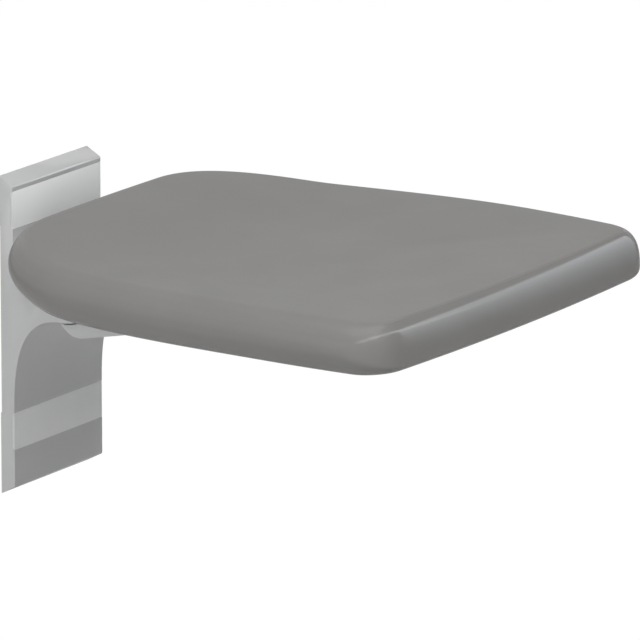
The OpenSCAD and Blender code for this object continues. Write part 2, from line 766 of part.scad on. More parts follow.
module threaded_inserts() color(brass_colour) seat_screw_places()
    translate([0, 0, flange_z + pad_t]) difference() {
        cylinder(r = insert_r - fit_gap, h = insert_l);
        translate([0, 0, -cut]) cylinder(r = seat_screw_r, h = insert_l + 2 * cut);
    }

module seat_screws() color(steel_colour) seat_screw_places()
    translate([0, 0, flange_low - seat_washer_t]) difference() {
        union() {
            cylinder(r = seat_screw_r - fit_gap, h = seat_screw_l);
            translate([0, 0, -seat_head_h])
                cylinder(r1 = seat_head_r * head_taper_share, r2 = seat_head_r, h = seat_head_h);
        }
        translate([0, 0, -seat_head_h - cut])
            cylinder(r = seat_screw_r * socket_share, h = seat_head_h, $fn = 6);
    }

module seat_screw_washers() color(steel_colour) seat_screw_places()
    translate([0, 0, flange_low - seat_washer_t]) difference() {
        cylinder(r = seat_washer_r, h = seat_washer_t);
        translate([0, 0, -cut]) cylinder(r = seat_screw_r + hand_gap / 2, h = seat_washer_t + 2 * cut);
    }

module seat_rest_pads() color(rubber_colour) seat_screw_places()
    translate([0, 0, flange_z]) difference() {
        translate([-pad_half_w, -pad_half_l, 0]) cube([2 * pad_half_w, 2 * pad_half_l, pad_t]);
        translate([0, 0, -cut]) cylinder(r = seat_screw_r + hand_gap, h = pad_t + 2 * cut);
    }

console_casting();
upper_cover_strip();
lower_cover_strip();
strip_clips();
hinge_shaft();
shaft_end_screws();
shaft_end_washers();
shaft_lock_screws();
thrust_washers();
disc_springs();
stop_pin();
down_stop_buffers();
seat_arm();
left_hub_bush();
right_hub_bush();
left_friction_disc();
right_friction_disc();
seat_shell();
threaded_inserts();
seat_screws();
seat_screw_washers();
seat_rest_pads();
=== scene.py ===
"""Fold down wall seat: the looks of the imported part.

The moulded seat is rebuilt with its fine roll, its grained top and its ribbed underside. The
console, the arm and the cover strips keep their solids' shapes with softened edges. All other
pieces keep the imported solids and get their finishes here.
"""

import math

import bmesh
import bpy
from mathutils import Matrix, Vector
from mathutils.bvhtree import BVHTree


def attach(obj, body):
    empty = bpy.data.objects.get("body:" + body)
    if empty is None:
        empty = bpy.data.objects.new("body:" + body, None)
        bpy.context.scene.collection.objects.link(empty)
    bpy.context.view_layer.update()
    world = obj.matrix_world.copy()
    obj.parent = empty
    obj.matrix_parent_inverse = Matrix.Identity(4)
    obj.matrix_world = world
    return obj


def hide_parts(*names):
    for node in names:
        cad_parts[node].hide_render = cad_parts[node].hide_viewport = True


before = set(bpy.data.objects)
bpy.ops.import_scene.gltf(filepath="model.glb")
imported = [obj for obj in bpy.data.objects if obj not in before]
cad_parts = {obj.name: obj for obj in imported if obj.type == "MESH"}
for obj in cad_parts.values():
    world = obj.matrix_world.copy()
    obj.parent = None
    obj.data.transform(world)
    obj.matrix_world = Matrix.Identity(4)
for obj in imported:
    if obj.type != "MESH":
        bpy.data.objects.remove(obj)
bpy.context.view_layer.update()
MM = 0.001


# Materials

def linear(hex_colour):
    """A colour as it is written on a paint card, made linear for the shader."""
    parts = [int(hex_colour[i : i + 2], 16) / 255 for i in (1, 3, 5)]
    return [c / 12.92 if c < 0.04045 else ((c + 0.055) / 1.055) ** 2.4 for c in parts] + [1.0]


def grains(size_mm):
    """The scale of a pattern whose grains are about this many millimetres across."""
    return 1.0 / (size_mm * MM)


def start_material(name):
    """A material with an empty tree of nodes."""
    material = bpy.data.materials.new(name)
    material.use_nodes = True
    material.node_tree.nodes.clear()
    return material, material.node_tree


def add(tree, kind, settings=None, **inputs):
    """One node with its settings and inputs. An input is a value, a socket, or a node's first output."""
    node = tree.nodes.new("ShaderNode" + kind)
    for name, value in (settings or {}).items():
        setattr(node, name, value)
    for name, value in inputs.items():
        numbered = name[0] == "i" and name[1:].isdigit()
        socket = node.inputs[int(name[1:]) if numbered else name.replace("_", " ")]
        source = value.outputs[0] if isinstance(value, bpy.types.Node) else value
        if isinstance(source, bpy.types.NodeSocket):
            tree.links.new(source, socket)
        else:
            socket.default_value = source
    return node


def powder_coat(name, dark, light, coat_ior):
    """Satin powder coat on a casting: orange peel, faint clouding, a few duller rubbed patches."""
    material, tree = start_material(name)
    place = add(tree, "TexCoord").outputs["Object"]
    clouds = add(tree, "TexNoise", Vector=place, Scale=grains(60), Detail=2.0, Roughness=0.55)
    peel = add(tree, "TexNoise", Vector=place, Scale=grains(1.1), Detail=2.0, Roughness=0.55)
    rubbed = add(tree, "TexNoise", Vector=place, Scale=grains(18), Detail=4.0, Roughness=0.6)
    share = add(tree, "MapRange", Value=clouds, From_Min=0.3, From_Max=0.7)
    colour = add(tree, "Mix", {"data_type": "RGBA"}, i0=share, i6=linear(dark), i7=linear(light))
    dull = add(tree, "MapRange", Value=rubbed, From_Min=0.35, From_Max=0.7, To_Min=0.30, To_Max=0.38)
    dents = add(tree, "Bump", Strength=0.35, Distance=0.03 * MM, Height=peel)
    shader = add(
        tree, "BsdfPrincipled", Base_Color=colour.outputs[2], Roughness=dull, Normal=dents,
        Coat_Weight=1.0, Coat_Roughness=0.1, Coat_IOR=coat_ior,
    )
    add(tree, "OutputMaterial", Surface=shader)
    return material


def moulded(name, dark, light, grain_mm, depth_mm, rough, rough_worn):
    """Moulded plastic: a fine eroded grain, slight flow clouding and a little handling polish."""
    material, tree = start_material(name)
    place = add(tree, "TexCoord").outputs["Object"]
    clouds = add(tree, "TexNoise", Vector=place, Scale=grains(45), Detail=3.0, Roughness=0.55)
    grain = add(tree, "TexNoise", Vector=place, Scale=grains(grain_mm), Detail=3.0, Roughness=0.55)
    polish = add(tree, "TexNoise", Vector=place, Scale=grains(25), Detail=3.0, Roughness=0.6)
    share = add(tree, "MapRange", Value=clouds, From_Min=0.3, From_Max=0.7)
    colour = add(tree, "Mix", {"data_type": "RGBA"}, i0=share, i6=linear(dark), i7=linear(light))
    worn = add(tree, "MapRange", Value=polish, From_Min=0.35, From_Max=0.7, To_Min=rough, To_Max=rough_worn)
    dents = add(tree, "Bump", Strength=0.4, Distance=depth_mm * MM, Height=grain)
    shader = add(tree, "BsdfPrincipled", Base_Color=colour.outputs[2], Roughness=worn, Normal=dents)
    add(tree, "OutputMaterial", Surface=shader)
    return material


def shade_strip_ends(material, strip_name, end_shade_colour):
    """Painted shade on a strip's ends: over the last quarter millimetre at each end, the pale face colour
    turns to a darker grey.
    """
    tree = material.node_tree
    shader = tree.nodes["Principled BSDF"]
    pale = shader.inputs["Base Color"].links[0].from_socket
    half_length = max(v.co.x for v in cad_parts[strip_name].data.vertices)
    # Painted shade: from here to the end of the strip, the colour darkens to the given grey.
    shade_from, full_shade_at = half_length - 0.25 * MM, half_length - 0.05 * MM
    along = add(tree, "SeparateXYZ", Vector=tree.nodes["Texture Coordinate"].outputs["Object"]).outputs["X"]
    off_middle = add(tree, "Math", {"operation": "ABSOLUTE"}, i0=along)
    shaded_end = add(tree, "MapRange", Value=off_middle, From_Min=shade_from, From_Max=full_shade_at)
    both = add(tree, "Mix", {"data_type": "RGBA"}, i0=shaded_end, i6=pale, i7=linear(end_shade_colour))
    tree.links.new(both.outputs[2], shader.inputs["Base Color"])


def seat_skin():
    """Moulded seat: a leather-fine grain on the sitting face that fades out on the smooth rolled rim."""
    material, tree = start_material("grey_moulded_seat_skin")
    place = add(tree, "TexCoord").outputs["Object"]
    rim = add(tree, "Attribute", {"attribute_name": "rim", "attribute_type": "GEOMETRY"}).outputs["Fac"]
    clouds = add(tree, "TexNoise", Vector=place, Scale=grains(70), Detail=2.0, Roughness=0.55)
    grain = add(tree, "TexNoise", Vector=place, Scale=grains(0.7), Detail=2.0, Roughness=0.55)
    specks = add(tree, "TexNoise", Vector=place, Scale=grains(0.2), Detail=1.0, Roughness=0.55)
    scuffs = add(tree, "TexNoise", Vector=place, Scale=grains(38), Detail=4.0, Roughness=0.6)
    pores = add(tree, "TexVoronoi", {"feature": "F1"}, Vector=place, Scale=grains(1.4))
    share = add(tree, "MapRange", Value=clouds, From_Min=0.3, From_Max=0.7)
    colour = add(tree, "Mix", {"data_type": "RGBA"}, i0=share, i6=linear("#7b7a78"), i7=linear("#7e7d7b"))
    grained = add(tree, "MapRange", Value=scuffs, From_Min=0.4, From_Max=0.75, To_Min=0.47, To_Max=0.50)
    smooth = add(tree, "MapRange", Value=scuffs, From_Min=0.4, From_Max=0.75, To_Min=0.12, To_Max=0.14)
    even = add(tree, "Mix", {"data_type": "FLOAT"}, i0=rim, i2=grained, i3=smooth)
    # Where the grain dies out, grained and smooth flecks lie side by side, far finer than a millimetre
    still_grained = add(tree, "Math", {"operation": "SUBTRACT"}, i0=1.0, i1=rim)
    half_way = add(tree, "Math", {"operation": "MULTIPLY"}, i0=rim, i1=still_grained)
    flecks = add(tree, "MapRange", Value=specks, From_Min=0.35, From_Max=0.65, To_Min=-0.5, To_Max=0.5)
    rough = add(tree, "Math", {"operation": "MULTIPLY_ADD"}, i0=half_way, i1=flecks, i2=even)
    relief = add(tree, "Math", {"operation": "MULTIPLY_ADD"}, i0=pores, i1=0.5, i2=grain)
    fade = add(tree, "MapRange", Value=rim, To_Min=0.30, To_Max=0.03)
    dents = add(tree, "Bump", Strength=fade, Distance=0.05 * MM, Height=relief)
    shader = add(
        tree, "BsdfPrincipled", Base_Color=colour.outputs[2], Roughness=rough, Normal=dents, IOR=1.5,
    )
    add(tree, "OutputMaterial", Surface=shader)
    return material


def turned_steel(name, colour, rough, axis):
    """Turned or drawn steel: fine rings or lines round the piece's own axis."""
    material, tree = start_material(name)
    place = add(tree, "TexCoord").outputs["Object"]
    stretch = [30.0 if i == axis else 1.0 for i in range(3)]
    stretched = add(tree, "Mapping", Vector=place, Scale=stretch)
    lines = add(tree, "TexNoise", Vector=stretched, Scale=grains(6), Detail=4.0, Roughness=0.7)
    stains = add(tree, "TexNoise", Vector=place, Scale=grains(9), Detail=3.0, Roughness=0.55)
    share = add(tree, "MapRange", Value=stains, From_Min=0.3, From_Max=0.7)
    shade = add(tree, "Mix", {"data_type": "RGBA"}, i0=share, i6=linear(colour), i7=linear("#c9c9cb"))
    brushed = add(
        tree, "MapRange", Value=lines, From_Min=0.3, From_Max=0.7, To_Min=rough - 0.06, To_Max=rough + 0.10,
    )
    dents = add(tree, "Bump", Strength=0.3, Distance=0.01 * MM, Height=lines)
    shader = add(
        tree, "BsdfPrincipled", Base_Color=shade.outputs[2], Roughness=brushed, Normal=dents, Metallic=1.0,
    )
    add(tree, "OutputMaterial", Surface=shader)
    return material


def moulded_rubber():
    """Buffer rubber: nearly black, with a dusty bloom and a pebbled mould face."""
    material, tree = start_material("black_buffer_rubber")
    place = add(tree, "TexCoord").outputs["Object"]
    bloom = add(tree, "TexNoise", Vector=place, Scale=grains(5), Detail=4.0, Roughness=0.7)
    pebbles = add(tree, "TexNoise", Vector=place, Scale=grains(0.5), Detail=2.0, Roughness=0.55)
    share = add(tree, "MapRange", Value=bloom, From_Min=0.35, From_Max=0.75)
    colour = add(tree, "Mix", {"data_type": "RGBA"}, i0=share, i6=linear("#1b1b1b"), i7=linear("#2e2d2c"))
    dusty = add(tree, "MapRange", Value=bloom, From_Min=0.3, From_Max=0.8, To_Min=0.62, To_Max=0.8)
    dents = add(tree, "Bump", Strength=0.4, Distance=0.05 * MM, Height=pebbles)
    shader = add(tree, "BsdfPrincipled", Base_Color=colour.outputs[2], Roughness=dusty, Normal=dents)
    add(tree, "OutputMaterial", Surface=shader)
    return material


def knurled_brass():
    """Knurled brass: straight flutes by a wave round the insert, with dull roots."""
    material, tree = start_material("knurled_insert_brass")
    place = add(tree, "TexCoord").outputs["Object"]
    wave = {"bands_direction": "DIAGONAL"}
    flutes = add(tree, "TexWave", wave, Vector=place, Scale=grains(2.2), Distortion=0.3).outputs["Fac"]
    colour = add(tree, "Mix", {"data_type": "RGBA"}, i0=flutes, i6=linear("#8a6a34"), i7=linear("#c9a35c"))
    dull = add(tree, "MapRange", Value=flutes, To_Min=0.45, To_Max=0.28)
    dents = add(tree, "Bump", Strength=0.5, Distance=0.08 * MM, Height=flutes)
    shader = add(
        tree, "BsdfPrincipled", Base_Color=colour.outputs[2], Roughness=dull, Normal=dents, Metallic=1.0,
    )
    add(tree, "OutputMaterial", Surface=shader)
    return material


console_coat = powder_coat("light_grey_powder_coat_console", "#bbbcbc", "#bfc0c0", coat_ior=1.8)
arm_coat = powder_coat("light_grey_powder_coat_arm", "#b7b8b8", "#bbbcbc", coat_ior=1.5)
strip_plastic = moulded(
    "pale_grey_strip_plastic", "#eeefef", "#f2f3f3",
    grain_mm=0.6, depth_mm=0.02, rough=0.36, rough_worn=0.42,
)
# Painted shade: the strips' end faces are coloured a darker grey than their pale faces.
shade_strip_ends(strip_plastic, "upper_cover_strip", "#cbcccc")
seat_plastic = seat_skin()
stainless = turned_steel("turned_stainless_steel", "#a9a9ab", rough=0.26, axis=0)
spring_steel = turned_steel("blued_spring_steel", "#77777b", rough=0.34, axis=1)
buffer_rubber = moulded_rubber()
insert_brass = knurled_brass()
bearing_plastic = moulded(
    "black_bearing_plastic", "#262625", "#2e2e2d",
    grain_mm=0.8, depth_mm=0.02, rough=0.4, rough_worn=0.5,
)
brake_lining = moulded(
    "brown_brake_lining", "#3a332c", "#4a4238",
    grain_mm=1.2, depth_mm=0.06, rough=0.8, rough_worn=0.9,
)

finish_of_node = {
    "console_casting": console_coat,
    "upper_cover_strip": strip_plastic,
    "lower_cover_strip": strip_plastic,
    "strip_clips": spring_steel,
    "hinge_shaft": stainless,
    "shaft_end_screws": stainless,
    "shaft_end_washers": stainless,
    "shaft_lock_screws": stainless,
    "thrust_washers": stainless,
    "disc_springs": spring_steel,
    "stop_pin": stainless,
    "down_stop_buffers": buffer_rubber,
    "seat_arm": arm_coat,
    "left_hub_bush": bearing_plastic,
    "right_hub_bush": bearing_plastic,
    "left_friction_disc": brake_lining,
    "right_friction_disc": brake_lining,
    "seat_shell": seat_plastic,
    "threaded_inserts": insert_brass,
    "seat_screws": stainless,
    "seat_screw_washers": stainless,
    "seat_rest_pads": buffer_rubber,
}
for node_name, finish in finish_of_node.items():
    node_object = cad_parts[node_name]
    node_object.data.materials.clear()
    node_object.data.materials.append(finish)


# Pieces that keep their solid's shape, with softened edges

MERGE_MM = 0.002
FLAT_ANGLE, CORNER_ANGLE, SMOOTH_ANGLE = math.radians(0.5), math.radians(30), math.radians(32)
CASTING_EDGE_MM, STRIP_EDGE_MM = 0.35, 0.3


def mesh_object(bm, name, material):
    """An object of a finished mesh, with its material."""
    mesh = bpy.data.meshes.new(name)
    bm.to_mesh(mesh)
    bm.free()
    mesh.materials.append(material)
    made = bpy.data.objects.new(name, mesh)
    bpy.context.scene.collection.objects.link(made)
    return made


def finish_piece(bm, name, body, material, smooth_angle=SMOOTH_ANGLE):
    """Makes a piece of a finished mesh: smooth faces, with its real corners kept sharp."""
    for face in bm.faces:
        face.smooth = True
    for edge in bm.edges:
        edge.smooth = not (len(edge.link_faces) == 2 and edge.calc_face_angle(0.0) > smooth_angle)
    piece = mesh_object(bm, name, material)
    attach(piece, body)
    return piece


def softened(node_name, name, body, edge_mm):
    """A copy of a node with its flat faces joined and its corners rounded by a hair."""
    bm = bmesh.new()
    bm.from_mesh(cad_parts[node_name].data)
    bmesh.ops.remove_doubles(bm, verts=bm.verts, dist=MERGE_MM * MM)
    bmesh.ops.dissolve_limit(
        bm, angle_limit=FLAT_ANGLE, use_dissolve_boundaries=False, verts=bm.verts, edges=bm.edges,
    )
    corners = [e for e in bm.edges if len(e.link_faces) == 2 and e.calc_face_angle(0.0) > CORNER_ANGLE]
    bmesh.ops.bevel(
        bm, geom=corners, offset=edge_mm * MM, offset_type="OFFSET", affect="EDGES",
        segments=2, profile=0.5, clamp_overlap=True, material=-1,
    )
    piece = finish_piece(bm, name, body, finish_of_node[node_name])
    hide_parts(node_name)


softened("console_casting", "console_with_soft_edges", "wall_console", CASTING_EDGE_MM)
softened("upper_cover_strip", "upper_strip_with_soft_edges", "wall_console", STRIP_EDGE_MM)
softened("lower_cover_strip", "lower_strip_with_soft_edges", "wall_console", STRIP_EDGE_MM)
softened("seat_arm", "arm_with_soft_edges", "folding_seat", CASTING_EDGE_MM)


# The moulded seat, in millimetres and with the solid's own sizes

SEAT_BACK, SEAT_FRONT = 44.0, 448.5
SEAT_L = SEAT_FRONT - SEAT_BACK
HALF_W_BACK, HALF_W_FRONT = 181.7, 195.3
SIDE_BACK_SHARE, SIDE_FRONT_SHARE = 0.25, 0.8
BACK_BOW, FRONT_BOW, SIDE_BOW = 4000.0, 2450.0, 940.0
BACK_CORNER, FRONT_CORNER = 111.0, 38.0
SEAT_Z, BACK_RISE, FRONT_RISE, DISH = 84.0, 11.6, 2.8, 3.0
BACK_RISE_SHARE, FRONT_RISE_SHARES, DISH_EDGE_SHARE = 0.28, (0.25, 0.72), 0.3
ROLL_X, ROLL_Z, FRONT_ROLL_X, FRONT_ROLL_Z = 21.8, 20.1, 12.8, 32.0
HOLD_SHARE, FRONT_LOW_HOLD_SHARE, FRONT_TOP_HOLD_SHARE = 0.55, 0.68, 0.62
FRONT_SLOPE = math.radians(22)
FRONT_FROM_SHARE, FRONT_OVER_SHARE, FRONT_POWER = 0.7, 0.2, 1.5
TUCK, FRONT_TUCK, RIM_H, RIM_FRONT_H = 14.9, 6.9, 40.0, 38.0
SKIN, LIP_R = 4.5, 2.0
NOTCH_HALF_W, NOTCH_TOP, NOTCH_STEP, NOTCH_LIP_SHARE = 60.0, 75.0, 0.05, 0.1
SEAT_MID = Vector((0, -(SEAT_BACK + SEAT_FRONT) / 2))

# Where the skin's rings lie: on the top, the roll, the wall and the lip, and then inside the hollow
BACK_STEPS, BACK_CORNER_STEPS, SIDE_STEPS, FRONT_CORNER_STEPS, FRONT_STEPS = 10, 30, 24, 26, 20
TOP_SHARES = (0.12, 0.25, 0.34, 0.42, 0.5, 0.58, 0.66, 0.74, 0.81, 0.87, 0.92, 0.96, 0.985, 0.998)
ROLL_TOP_SHARES, ROLL_STEPS, ROLL_POWER = (1.0, 0.99), 24, 0.9
WALL_SHARES = (0.15, 0.3, 0.45, 0.6, 0.75, 0.88)
LIP_STEPS = 4
INNER_WALL_SHARES = (1, 0.75, 0.4, 0.1)
INNER_ROLL_SHARES = (0.12, 0.3, 0.5, 0.7, 0.9)
INNER_DISH_SHARES = (0.95, 0.85, 0.75, 0.6, 0.45, 0.3, 0.15)

# How far down the roll the grain has died out: early on the crisp front, slowly on the soft sides
SIDE_FADE_FROM_SHARE, SIDE_FADE_OVER_SHARE, FRONT_FADE_OVER_SHARE = 0.85, 0.65, 0.12
SEAT_SMOOTH_ANGLE = math.radians(50)


def circles_meet(a, ra, b, rb):
    """Where two circles meet, on the side of the larger x."""
    d = b - a
    along = (ra * ra - rb * rb + d.length_squared) / (2 * d.length)
    high = math.sqrt(ra * ra - along * along)
    foot = a + d.normalized() * along
    side = Vector((-d.y, d.x)).normalized() * high
    return max((foot + side, foot - side), key=lambda p: p.x)


def turn_to(start, end):
    return math.atan2(end.y - start.y, end.x - start.x)


def right_half():
    """The right half of the seat's widest line, from the middle of the back to the middle of the front."""
    back_c = Vector((0, -SEAT_BACK - BACK_BOW))
    front_c = Vector((0, -SEAT_FRONT + FRONT_BOW))
    side_a = Vector((HALF_W_BACK, -SEAT_BACK - SIDE_BACK_SHARE * SEAT_L))
    side_b = Vector((HALF_W_FRONT, -SEAT_BACK - SIDE_FRONT_SHARE * SEAT_L))
    run = side_b - side_a
    inward = Vector((run.y, -run.x)).normalized()
    side_c = (side_a + side_b) / 2 + inward * math.sqrt(SIDE_BOW**2 - run.length_squared / 4)
    back_k = circles_meet(back_c, BACK_BOW - BACK_CORNER, side_c, SIDE_BOW - BACK_CORNER)
    front_k = circles_meet(front_c, FRONT_BOW - FRONT_CORNER, side_c, SIDE_BOW - FRONT_CORNER)
    arcs = [
        (back_c, BACK_BOW, math.pi / 2, turn_to(back_c, back_k), BACK_STEPS),
        (back_k, BACK_CORNER, turn_to(back_c, back_k), turn_to(side_c, back_k), BACK_CORNER_STEPS),
        (side_c, SIDE_BOW, turn_to(side_c, back_k), turn_to(side_c, front_k), SIDE_STEPS),
        (front_k, FRONT_CORNER, turn_to(side_c, front_k), turn_to(front_c, front_k), FRONT_CORNER_STEPS),
        (front_c, FRONT_BOW, turn_to(front_c, front_k), -math.pi / 2, FRONT_STEPS),
    ]
    points = []
    for centre, radius, start, end, steps in arcs:
        for i in range(steps):
            turn = start + (end - start) * i / steps
            out = Vector((math.cos(turn), math.sin(turn)))
            points.append((centre + out * radius, out))
    return points


def seat_outline():
    """Points of the whole widest line with their outward directions, clockwise, with the notch's sides."""
    right = right_half()
    step = next(i for i, (p, n) in enumerate(right) if p.x > NOTCH_HALF_W)
    (p0, n0), (p1, n1) = right[step - 1], right[step]
    for x in (NOTCH_HALF_W + NOTCH_STEP, NOTCH_HALF_W - NOTCH_STEP):
        share = (x - p0.x) / (p1.x - p0.x)
        right.insert(step, (p0.lerp(p1, share), n0.lerp(n1, share).normalized()))
    left = [(Vector((-p.x, p.y)), Vector((-n.x, n.y))) for p, n in reversed(right[1:])]
    return right + [(Vector((0, -SEAT_FRONT)), Vector((0, -1)))] + left


def clamp(value, low=0.0, high=1.0):
    return max(low, min(high, value))


def depth_share(y):
    """0 at the seat's back edge and 1 at its front."""
    return clamp((-y - SEAT_BACK) / SEAT_L)


def mix(a, b, t):
    return a + (b - a) * t


def soft_step(s, low, high):
    t = clamp((s - low) / (high - low))
    return t * t * (3 - 2 * t)


def edge_height(y):
    """Height of the top of the rolled edge along the seat's depth."""
    s = depth_share(y)
    back = max(0.0, 1 - s / BACK_RISE_SHARE)
    return SEAT_Z + BACK_RISE * back * back + FRONT_RISE * soft_step(s, *FRONT_RISE_SHARES)


def front_part(p, n):
    """How much of the front's crisp section a place of the rim has."""
    return clamp((depth_share(p.y) - FRONT_FROM_SHARE) / FRONT_OVER_SHARE) * max(0.0, -n.y) ** FRONT_POWER


def roll_point(p, n, share, wall=0.0):
    """A point of the rolled edge, on a curve with two handles: share 0 is the widest line and 1 the top."""
    w = front_part(p, n)
    rx, rz = mix(ROLL_X, FRONT_ROLL_X, w) - wall, mix(ROLL_Z, FRONT_ROLL_Z, w) - wall
    low_hold = rz * mix(HOLD_SHARE, FRONT_LOW_HOLD_SHARE, w)
    top_hold = rx * mix(HOLD_SHARE, FRONT_TOP_HOLD_SHARE, w)
    t, u = share, 1 - share
    inward = 3 * u * t * t * (rx - top_hold) + t**3 * rx
    up = 3 * u * u * t * low_hold + 3 * u * t * t * (rz - top_hold * math.tan(FRONT_SLOPE * w)) + t**3 * rz
    q = p - n * (wall + inward)
    return Vector((q.x, q.y, edge_height(p.y) - rz - wall + up))


def wall_point(p, n, share, wall=0.0, short=0.0):
    """A point of the tucked wall: share 0 is the widest line and 1 the lip. The notch ends it early."""
    w = front_part(p, n)
    rz, rim_h = mix(ROLL_Z, FRONT_ROLL_Z, w), mix(RIM_H, RIM_FRONT_H, w)
    if abs(p.x) < NOTCH_HALF_W and n.y > 0:
        high = edge_height(p.y) - NOTCH_TOP
        drop = mix(rz, high - NOTCH_LIP_SHARE * short, share)
    else:
        high = rim_h
        drop = mix(rz, high - short, share)
    reach = clamp((drop - rz) / (high - rz))
    q = p - n * (wall + mix(TUCK, FRONT_TUCK, w) * reach * reach * (high - rz) / (rim_h - rz))
    return Vector((q.x, q.y, edge_height(p.y) - drop))


def dish_point(p, n, share, wall=0.0):
    """A point of the dished top: share 1 is the inner edge of the roll."""
    r = roll_point(p, n, 1.0)
    q = SEAT_MID + (Vector((r.x, r.y)) - SEAT_MID) * share
    return Vector((q.x, q.y, mix(SEAT_Z - DISH, r.z, soft_step(share, DISH_EDGE_SHARE, 1.0)) - wall))


def extrude_ring(bm, ring, places):
    """Extrudes a closed ring of edges and puts each new point in its place."""
    around = []
    for i, vert in enumerate(ring):
        following = ring[(i + 1) % len(ring)]
        around += [e for e in vert.link_edges if e.other_vert(vert) is following]
    new = bmesh.ops.extrude_edge_only(bm, edges=around)["geom"]
    fresh = {v for v in new if isinstance(v, bmesh.types.BMVert)}
    result = []
    for vert, place in zip(ring, places):
        partner = next(e.other_vert(vert) for e in vert.link_edges if e.other_vert(vert) in fresh)
        partner.co = place * MM
        result.append(partner)
    return result


def close_ring(bm, ring, middle):
    """Closes a ring with a fan round a middle point."""
    face = bmesh.ops.contextual_create(bm, geom=ring)["faces"][0]
    centre = bmesh.ops.poke(bm, faces=[face])["verts"][0]
    centre.co = middle * MM


def place_ring(bm, places):
    """A closed ring of edges through the given places, from a circle whose points all move."""
    ring = bmesh.ops.create_circle(bm, cap_ends=False, radius=MM, segments=len(places))["verts"]
    for vert, place in zip(ring, places):
        vert.co = place * MM
    return list(ring)


def fade_of(p, n, share):
    """How far the grain has died out at a place of the roll."""
    on_side = clamp((SIDE_FADE_FROM_SHARE - share) / SIDE_FADE_OVER_SHARE)
    on_front = clamp((1 - share) / FRONT_FADE_OVER_SHARE)
    return mix(on_side, on_front, front_part(p, n))


def skin_rings(outline):
    """The skin's rings from the top's middle to the hollow's, each with its rim value at every point."""
    grained, smooth = [0.0] * len(outline), [1.0] * len(outline)
    for share in TOP_SHARES:
        yield [dish_point(p, n, share) for p, n in outline], grained
    even_shares = [1 - (1 - i / ROLL_STEPS) ** ROLL_POWER for i in reversed(range(ROLL_STEPS))]
    for share in (*ROLL_TOP_SHARES, *even_shares):
        yield [roll_point(p, n, share) for p, n in outline], [fade_of(p, n, share) for p, n in outline]
    for share in WALL_SHARES:
        yield [wall_point(p, n, share, 0, LIP_R) for p, n in outline], smooth
    for k in range(LIP_STEPS + 1):
        turn = math.pi / 2 * k / LIP_STEPS
        inset, short = LIP_R * (1 - math.cos(turn)), LIP_R * (1 - math.sin(turn))
        yield [wall_point(p, n, 1, inset, short) for p, n in outline], smooth
    for inner_point, shares in (
        (wall_point, INNER_WALL_SHARES), (roll_point, INNER_ROLL_SHARES), (dish_point, INNER_DISH_SHARES),
    ):
        for share in shares:
            yield [inner_point(p, n, share, SKIN) for p, n in outline], smooth


def moulded_seat():
    """The seat's skin, from the middle of the top over the roll and the lip to the middle of the hollow."""
    bm = bmesh.new()
    rim_layer = bm.verts.layers.float.new("rim")
    top_ring = ring = None
    for places, rims in skin_rings(seat_outline()):
        ring = extrude_ring(bm, ring, places) if ring else place_ring(bm, places)
        top_ring = top_ring or ring
        for vert, rim in zip(ring, rims):
            vert[rim_layer] = rim
    close_ring(bm, top_ring, Vector((0, SEAT_MID.y, SEAT_Z - DISH)))
    close_ring(bm, ring, Vector((0, SEAT_MID.y, SEAT_Z - DISH - SKIN)))
    bmesh.ops.recalc_face_normals(bm, faces=bm.faces)
    hollow = BVHTree.FromBMesh(bm)
    piece = finish_piece(bm, "moulded_seat", "folding_seat", seat_plastic, SEAT_SMOOTH_ANGLE)
    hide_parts("seat_shell")
    return hollow


# The ribs and the screw bosses, which stand in the hollow of the skin and end inside it

RIB_T, RIB_Z, RIB_ROOT, RIB_RAYS = 3.0, 66.0, 1.5, 48
RIB_COLUMNS = (84.0, 120.0, 156.0)
RIB_FIRST_ROW, RIB_PITCH, RIB_ROW_COUNT = -96.0, 42.0, 8
RIB_ROWS = [RIB_FIRST_ROW - RIB_PITCH * i for i in range(RIB_ROW_COUNT)]
PAD_TOP, LOW_RIB_GAP = 71.5, 0.3
SCREW_X, SCREW_ROWS = 67.0, (-140.0, -220.0, -300.0)
BOSS_R, BOSS_EDGE, BOSS_BELOW_DISH, BOSS_STEPS = 8.0, 0.4, 2.0, 40
INSERT_R, INSERT_L = 3.6, 6.0


def rib_outline(hollow, eye, along, reach):
    """Where the hollow ends in the plane of a rib, seen from a point on the rib's lower edge."""
    places = []
    for i in range(RIB_RAYS + 1):
        lean = (0.5 - 0.5 * math.cos(math.pi * i / RIB_RAYS)) * math.pi
        way = along * math.cos(lean) + Vector((0, 0, 1)) * math.sin(lean)
        hit, _, _, far = hollow.ray_cast(eye * MM, way)
        far = far / MM + RIB_ROOT if hit else 0.0
        limit = reach[0] if math.cos(lean) > 0 else reach[1]
        if limit is not None and abs(math.cos(lean)) * far > limit:
            far = limit / abs(math.cos(lean))
        places.append(eye + way * far)
    return [Vector((p.x, p.y, max(p.z, eye.z))) for p in places]


def add_rib(bm, hollow, eye, along, reach=(None, None)):
    """One rib: its outline is filled and drawn out to the rib's thickness."""
    across = Vector((along.y, -along.x, 0))
    places = rib_outline(hollow, eye, along, reach)
    ring = place_ring(bm, [p - across * RIB_T / 2 for p in places])
    face = bmesh.ops.contextual_create(bm, geom=ring)["faces"][0]
    out = bmesh.ops.extrude_face_region(bm, geom=[face])["geom"]
    verts = [v for v in out if isinstance(v, bmesh.types.BMVert)]
    bmesh.ops.translate(bm, verts=verts, vec=across * RIB_T * MM)


